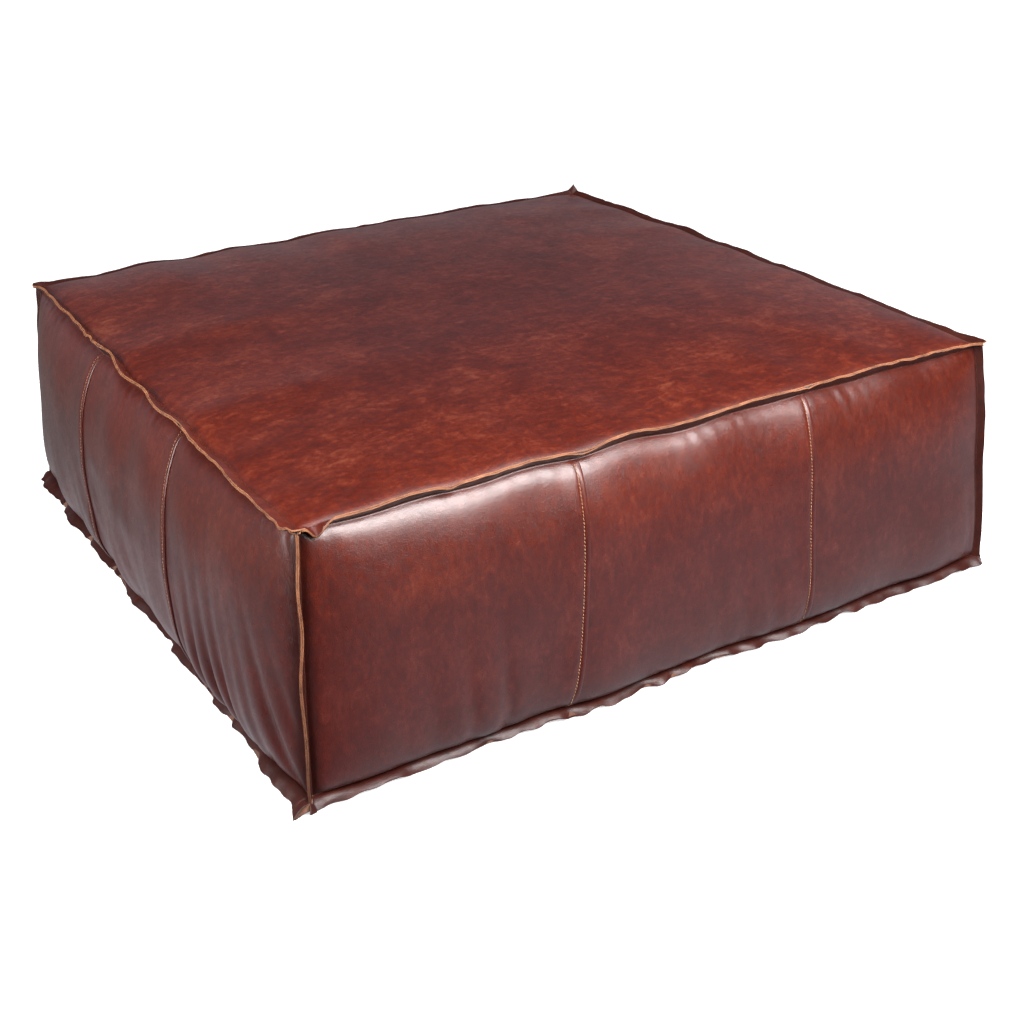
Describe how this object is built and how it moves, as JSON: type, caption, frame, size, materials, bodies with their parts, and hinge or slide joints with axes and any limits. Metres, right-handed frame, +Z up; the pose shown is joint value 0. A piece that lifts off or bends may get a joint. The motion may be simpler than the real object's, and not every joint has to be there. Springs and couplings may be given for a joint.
{
  "type": "floor pouf",
  "caption": "Large square box-shaped leather floor pouf, with raw-edged outward seams, pieced sides, a soft crowned top and a zip under the base.",
  "frame": {"origin": "centre of the footprint on the floor", "axes": "+Z up; the front side faces -Y; the zip under the base runs along X"},
  "size_m": [0.949, 0.949, 0.3068],
  "materials": {
    "cover_leather": "waxed pull-up leather, mottled reddish brown, satin sheen",
    "base_leather": "brown leather, plainer and more matt than the cover",
    "zip_tape": "woven polyester tape",
    "zip_teeth": "moulded metal teeth",
    "zip_metal": "antique nickel plate over cast zinc",
    "cotton": "unbleached plain cotton",
    "foam": "open-cell polyurethane foam",
    "wadding": "soft polyester wadding",
    "thread": "waxed tan thread"
  },
  "bodies": {
    "pouf": {"top_panel": "cover_leather", "front_panel_left": "cover_leather", "front_panel_middle": "cover_leather", "front_panel_right": "cover_leather", "right_panel_left": "cover_leather", "right_panel_middle": "cover_leather", "right_panel_right": "cover_leather", "back_panel_left": "cover_leather", "back_panel_middle": "cover_leather", "back_panel_right": "cover_leather", "left_panel_left": "cover_leather", "left_panel_middle": "cover_leather", "left_panel_right": "cover_leather", "base_panel_front": "base_leather", "base_panel_rear": "base_leather", "zip_end_tab_left": "base_leather", "zip_end_tab_right": "base_leather", "zip_tape_front": "zip_tape", "zip_tape_rear": "zip_tape", "zip_teeth_front": "zip_teeth", "zip_teeth_rear": "zip_teeth", "zip_top_stops": "zip_metal", "zip_bottom_stop": "zip_metal", "bag_base": "cotton", "bag_band": "cotton", "bag_top_sheet": "cotton", "foam_base_slab": "foam", "foam_middle_slab": "foam", "foam_top_slab": "foam", "wadding_side_wrap": "wadding", "wadding_top_sheet": "wadding", "top_seam_thread": "thread", "base_seam_thread": "thread", "corner_seam_threads": "thread", "front_topstitch": "thread", "right_topstitch": "thread", "back_topstitch": "thread", "left_topstitch": "thread", "zip_stitching": "thread", "base_centre_thread": "thread"},
    "slider": {"zip_slider": "zip_metal"},
    "pull": {"zip_pull_tab": "zip_metal"}
  },
  "joints": [
    {"name": "zip_slide", "type": "slide", "parent": "pouf", "child": "slider", "axis": [-1, 0, 0], "range_m": [0, 0.572], "deforming": ["zip_teeth_front", "zip_teeth_rear"]},
    {"name": "pull_pivot", "type": "hinge", "parent": "slider", "child": "pull", "pos_m": [0.292, 0, 0.0102], "axis": [0, -1, 0], "range_deg": [0, 140]}
  ]
}
